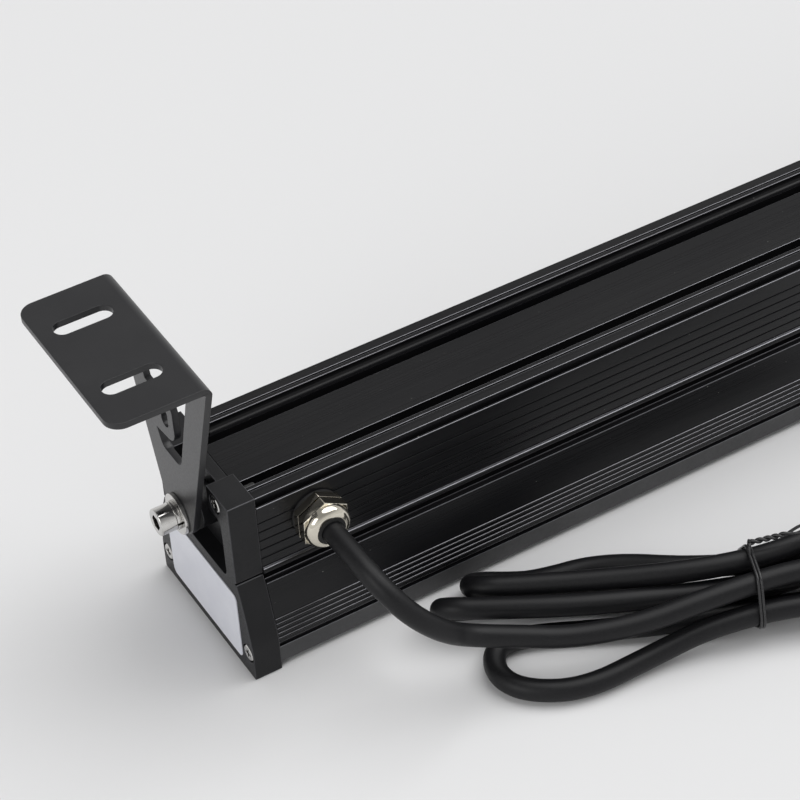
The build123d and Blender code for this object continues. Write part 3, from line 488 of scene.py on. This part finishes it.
def softenPiece(node, look):
    form = bmesh.new()
    form.from_mesh(nodes[node].data)
    bmesh.ops.remove_doubles(form, verts=form.verts, dist=softening["weld"] * mm)
    bmesh.ops.dissolve_limit(
        form, angle_limit=radians(softening["flat"]), verts=form.verts, edges=form.edges
    )
    if look["slot"] == "bracket":
        roundWindow(form)
    sharp = [
        edge for edge in form.edges
        if edge.is_manifold and edge.is_convex
        and edge.calc_face_angle() > radians(softening["sharp"])
    ]
    rounded = bmesh.ops.bevel(
        form, geom=sharp, offset=look["width"] * mm, offset_type="OFFSET",
        segments=softening["segments"], profile=0.5, affect="EDGES", material=-1,
        clamp_overlap=False,
    )["faces"]
    form.faces.index_update()
    extras = {}
    # The lip's paler finish paints in the light that its face catches
    if "lip" in look:
        rounded, lip = profileFaces(form, rounded)
        extras[look["lip"]] = lip
    # The rounded edges get a finish whose lighter colour is a painted highlight, as well as wear
    if "edge" in look:
        extras[look["edge"]] = [face.index for face in rounded if face.is_valid]
    # The shank gets the dark finish as painted shade
    if "shank" in look:
        extras[look["shank"]] = [
            face.index for face in form.faces
            if abs(face.calc_center_median().x) < shankFrom * mm
        ]
    for face in form.faces:
        face.smooth = True
    for edge in form.edges:
        edge.smooth = not edge.is_manifold or edge.calc_face_angle() < radians(softening["sharp"])
    data = bpy.data.meshes.new(node + "_soft")
    form.to_mesh(data)
    form.free()
    piece = addPiece(node + "_soft", data, look["finish"], bodyOf(node), look["slot"], node)
    for place, (finish, faces) in enumerate(extras.items(), 1):
        data.materials.append(finishes[finish])
        for index in faces:
            data.polygons[index].material_index = place
    piece.modifiers.new("evenNormals", "WEIGHTED_NORMAL").keep_sharp = True
    return piece


softPieces = {node: softenPiece(node, look) for node, look in spreadSides(softened).items()}
print("edges rounded:", len(softPieces))

# CAD nodes that keep their shape and get a finish
kept = {
    "end_cap_gasket": "sealRubber", "friction_washer": "blackNylon", "pivot_insert": "nickelGland",
    "rating_label": "labelFilm", "lens_glass": "lensGlass", "lens_seal_strips": "sealRubber",
    "led_board": "circuitWhite", "led_chips": "phosphor", "optic_lenses": "opticClear",
    "led_board_screws": "nickelScrew", "driver_case": "driverSheet", "driver_lid": "driverSheet",
    "driver_board": "boardGreen", "driver_components": "partBlack",
    "driver_screws": "nickelScrew", "gland_ring": "sealRubber", "gland_seal": "sealRubber",
    "gland_locknut": "nickelGland", "supply_wires": "wireBrown", "feed_wires": "wireBlue",
}
for node, finish in spreadSides(kept).items():
    giveFinish(nodes[node], finish)
print("finishes given to CAD nodes")


# Supply cord: out of the gland, down in one sweep and into the tied hank. The hank's left and
# right halves have their own directions, in degrees
cord = {
    "radius": 4.0, "length": 1.62, "roundness": 8, "steps": 20,
    "gland": (-267.8, -38.4, 58.3),
    "lead": [
        (-267.8, -18.6, 58.3), (-267.8, -54.0, 58.3), (-266.0, -67.0, 54.5),
        (-260.0, -75.0, 45.0), (-250.0, -78.0, 34.0),
    ],
    "tie": (-139.0, -102.0), "leftTurn": -30.25, "rightTurn": -14.0,
}
# The hank's corners, as far along it from the tie, across it, and their height: seven runs
# through the tie, with the bends between them
hankRoute = [
    (-100, -28.2, 24.2),
    (-82, -26.6, 20.9), (-64, -25, 17.6), (-40, -21, 18.4), (-16, -12.6, 21.2),
    (16, -4.6, 21.2), (56, -14, 22.9), (92, -20, 22.9), (106, -10, 22.9),
    (106, 12, 22.9), (92, 22, 22.9), (56, 15, 22.9), (16, 4.2, 21.9),
    (-16, 1.2, 21.2), (-52, 2, 17.4), (-83, 2.4, 15.9), (-92.5, 3.0, 15.4), (-97.5, 6.2, 12.3),
    (-97.5, 12.6, 7.3), (-92.5, 16.3, 4.2), (-84, 15.6, 4.2), (-74, 15.4, 4.6), (-50, 20.6, 7.2),
    (-16, 9.8, 13.2),
    (16, 8.6, 13.4), (50, 9, 13.7), (82, 14, 13.2), (93, 7, 13),
    (93, -8, 13), (82, -14, 13), (50, -6, 13.2), (16, -0.8, 13.3),
    (-16, -2.2, 13.2), (-60, -7.5, 15.0), (-94.5, -6.2, 14.2), (-103.4, -5.6, 14.2),
    (-108.3, -2.9, 11.4), (-108.3, 1.0, 6.6), (-103.4, 3.4, 4), (-94.5, 3.9, 4.1), (-58, 7.5, 4),
    (-16, 4.4, 5.5),
    (16, 3.4, 5.5), (62, 16, 4), (106, 27, 4), (123, 14, 4),
    (123, -10, 4), (106, -24, 4), (60, -13, 4), (16, -6, 5.5),
    (-16, -7, 5.5), (-50, -9.3, 4), (-82, -10.5, 4), (-91, -17, 4),
    (-90, -29, 4), (-80, -36.5, 4), (-60, -36.5, 4), (-36, -23.5, 5.5),
    (-14, -15, 10.6), (16, -12.9, 12.6), (46, -21, 9), (76, -31, 4),
]


def hankPlace(along, across, height):
    turn = radians(cord["leftTurn"] if along < 0 else cord["rightTurn"])
    x = cord["tie"][0] + along * cos(turn) - across * sin(turn)
    y = cord["tie"][1] + along * sin(turn) + across * cos(turn)
    return Vector((x, y, height)) * mm


def addSpline(curve, points, cyclic=False):
    spline = curve.splines.new("NURBS")
    spline.points.add(len(points) - 1)
    for point, place in zip(spline.points, points):
        point.co = (*place, 1)
    spline.order_u = 3
    spline.use_endpoint_u = not cyclic
    spline.use_cyclic_u = cyclic
    spline.use_smooth = True
    return spline


def newCurve(name, radius, roundness, steps=12):
    curve = bpy.data.curves.new(name, "CURVE")
    curve.dimensions = "3D"
    curve.bevel_depth = radius * mm
    curve.bevel_resolution = roundness
    curve.resolution_u = steps
    curve.use_fill_caps = True
    return curve


cordCurve = newCurve("supplyCord", cord["radius"], cord["roundness"], cord["steps"])
cordPoints = [Vector(place) * mm for place in cord["lead"]]
cordPoints += [hankPlace(*place) for place in hankRoute]
addSpline(cordCurve, cordPoints)
supplyCord = addPiece(
    "supplyCord", cordCurve, "cordRubber", "housing", "jacket", "cord_lead", "cord_hank"
)
print("cord laid")

# Three conductors out of the hank's free end, down to the floor. Their bare tips are CAD's
conductors = {
    "radius": 1.3, "pitch": 2.7, "length": 45.0, "fan": 0.12, "bends": (-2, 8, 22),
    "roundness": 4, "finishes": ("wireBrown", "wireGreen", "wireBlue"),
}
tailEnd = cordPoints[-1]
tailWay = cordPoints[-1] - cordPoints[-2]
tailWay.z = 0
tailWay.normalize()
tailSide = tailWay.cross(Vector((0, 0, 1)))
for side, finish in zip((-1, 0, 1), conductors["finishes"]):
    heading = tailWay + tailSide * side * conductors["fan"]
    start = tailEnd + tailSide * side * conductors["pitch"] * mm
    places = []
    for out in (*conductors["bends"], conductors["length"]):
        fall = max(out / conductors["length"], 0) * (cord["radius"] - conductors["radius"])
        places.append(start + heading * out * mm - Vector((0, 0, fall * mm)))
    curve = newCurve(finish + "Core", conductors["radius"], conductors["roundness"])
    addSpline(curve, places)
    replaced = ("cord_conductors",) if side == 0 else ()
    addPiece(finish + "Core", curve, finish, "housing", "wire", *replaced)
giveFinish(nodes["conductor_cores"], "tinnedCopper")
print("conductors made")

# Tie wire: two turns that hug the cord, then both ends twisted together into a long eye. Its
# places are across the hank, height and along it, and the wrapped runs are across and height
tie = {
    "radius": 0.56, "reach": 4.9, "apart": 1.14, "heading": -22.125, "roundness": 4, "steps": 4,
    "wrapped": [
        (-11.75, 11.55), (-4.17, 5.5), (6.12, 5.5), (11.37, 13.3), (4.95, 21.55), (-6.12, 21.2),
    ],
    "wrapSteps": 5, "twistSteps": 28,
    "knot": (5.4, 29.2), "twistLength": 12.5, "twists": 2.25, "twistRise": 1.6,
    "frontFoot": [(1.93, 25.4, -0.57), (2.6, 27.3, -0.5), (3.9, 29.0, -0.3)],
    "backFoot": [(7.0, 28.9, 0.3), (7.9, 27.3, 0.5), (7.97, 25.4, 0.57)],
    "eye": [
        (0.4, 1.0, 15.0), (0.9, 2.6, 18.5), (1.0, 3.4, 24.0), (0.1, 3.2, 29.0),
        (-0.9, 2.0, 28.0), (-0.9, 0.8, 21.0), (-0.4, 0.0, 16.0),
    ],
}


def tiePlace(across, height, along):
    turn = radians(tie["heading"])
    x = cord["tie"][0] + along * cos(turn) - across * sin(turn)
    y = cord["tie"][1] + along * sin(turn) + across * cos(turn)
    return Vector((x, y, height)) * mm


# One turn round the outer runs, with an arc of the tie's reach round each
def wrapPoints(along):
    points = []
    places = [Vector(place) for place in tie["wrapped"]]
    for before, here, after in zip(places[-1:] + places, places, places[1:] + places[:1]):
        first = (here - before).normalized()
        last = (after - here).normalized()
        for step in range(tie["wrapSteps"] + 1):
            way = first.slerp(last, step / tie["wrapSteps"])
            out = Vector((way.y, -way.x)) * tie["reach"]
            points.append(tiePlace(here.x + out.x, here.y + out.y, along))
    return points


# One strand of the twist, which starts at an angle of phase
def twistPoints(phase):
    points = []
    for step in range(tie["twistSteps"] + 1):
        share = step / tie["twistSteps"]
        angle = 2 * pi * tie["twists"] * share + phase
        points.append(tiePlace(
            tie["knot"][0] + tie["radius"] * cos(angle),
            tie["knot"][1] + tie["radius"] * sin(angle) + tie["twistRise"] * share,
            tie["twistLength"] * share,
        ))
    return points


tieCurve = newCurve("hankTie", tie["radius"], tie["roundness"], tie["steps"])
for side in (-1, 1):
    addSpline(tieCurve, wrapPoints(side * tie["apart"] / 2), cyclic=True)
knotAcross, knotHeight = tie["knot"]
eyePoints = [
    tiePlace(knotAcross + across, knotHeight + tie["twistRise"] + up, along)
    for across, up, along in tie["eye"]
]
frontFoot = [tiePlace(*place) for place in tie["frontFoot"]]
backFoot = [tiePlace(*place) for place in tie["backFoot"]]
addSpline(
    tieCurve, frontFoot + twistPoints(pi) + eyePoints + twistPoints(0.0)[::-1] + backFoot
)
hankTie = addPiece("hankTie", tieCurve, "tiePlastic", "housing", "tie", "cord_tie")
print("tie made")


# Studio: a pale floor just under the lamp, a sky that is dimmer overhead, a very soft sun and
# two soft lamps. Places are in metres
studio = {
    "floorColor": (0.74, 0.74, 0.745), "floorSize": 30.0, "floorDepth": 0.0002,
    "floorRoughness": 0.7, "floorSpecular": 0.2,
    "skyShown": 0.76, "skyLight": 0.72, "skyAbove": 0.45, "skyBand": (0.2, 0.7),
    "softSun": {"from": (0.42, 0.02, 1.0), "spread": 60, "strength": 1.8},
    "lamps": {
        "rightSide": {"place": (1.2, -0.3, 1.35), "aim": (0, 0, 0.05), "size": 0.8, "power": 4},
        "leftSide": {"place": (-1.7, -0.6, 1.0), "aim": (-0.2, 0, 0.05), "size": 1.0, "power": 8},
    },
}


def makeFloor():
    form = bmesh.new()
    bmesh.ops.create_grid(form, x_segments=1, y_segments=1, size=studio["floorSize"] / 2)
    bmesh.ops.translate(form, verts=form.verts, vec=(0, 0, -studio["floorDepth"]))
    data = bpy.data.meshes.new("studioFloor")
    form.to_mesh(data)
    form.free()
    floor = bpy.data.objects.new("studioFloor", data)
    bpy.context.scene.collection.objects.link(floor)
    finish, shader = startFinish(
        "paleFloor", studio["floorColor"], studio["floorRoughness"],
        specular=studio["floorSpecular"],
    )
    floor.data.materials.append(finish)


# White sky, at one level where it is seen, mirrored or seen through, and another for its light
def makeSky():
    world = bpy.data.worlds.new("studioSky")
    bpy.context.scene.world = world
    world.use_nodes = True
    background = world.node_tree.nodes["Background"]
    background.inputs["Color"].default_value = (1, 1, 1, 1)
    path = addNode(world, "ShaderNodeLightPath")
    mirrored = addNode(world, "ShaderNodeMath", operation="MAXIMUM")
    shown = addNode(world, "ShaderNodeMath", operation="MAXIMUM")
    level = addNode(
        world, "ShaderNodeMapRange",
        {"To Min": studio["skyLight"], "To Max": studio["skyShown"]},
    )
    way = addNode(world, "ShaderNodeTexCoord")
    parts = addNode(world, "ShaderNodeSeparateXYZ")
    low, high = studio["skyBand"]
    above = addNode(
        world, "ShaderNodeMapRange",
        {"From Min": low, "From Max": high, "To Min": 1.0, "To Max": studio["skyAbove"]},
    )
    graded = addNode(world, "ShaderNodeMath", operation="MULTIPLY")
    link(world, path.outputs["Is Camera Ray"], mirrored.inputs[0])
    link(world, path.outputs["Is Glossy Ray"], mirrored.inputs[1])
    link(world, mirrored.outputs[0], shown.inputs[0])
    link(world, path.outputs["Is Transmission Ray"], shown.inputs[1])
    link(world, shown.outputs[0], level.inputs["Value"])
    link(world, way.outputs["Generated"], parts.inputs["Vector"])
    link(world, parts.outputs["Z"], above.inputs["Value"])
    link(world, level.outputs["Result"], graded.inputs[0])
    link(world, above.outputs["Result"], graded.inputs[1])
    link(world, graded.outputs[0], background.inputs["Strength"])


def makeLamp(name, look):
    data = bpy.data.lights.new(name, "AREA")
    data.size = look["size"]
    data.energy = look["power"]
    lamp = bpy.data.objects.new(name, data)
    bpy.context.scene.collection.objects.link(lamp)
    lamp.location = look["place"]
    aim = Vector(look["aim"]) - Vector(look["place"])
    lamp.rotation_euler = aim.to_track_quat("-Z", "Y").to_euler()


def makeSun(look):
    data = bpy.data.lights.new("softSun", "SUN")
    data.energy = look["strength"]
    data.angle = radians(look["spread"])
    sun = bpy.data.objects.new("softSun", data)
    bpy.context.scene.collection.objects.link(sun)
    sun.rotation_euler = (-Vector(look["from"])).to_track_quat("-Z", "Y").to_euler()


makeFloor()
makeSky()
makeSun(studio["softSun"])
for name, look in studio["lamps"].items():
    makeLamp(name, look)
bpy.context.scene.view_settings.view_transform = "Standard"
print("studio lit")
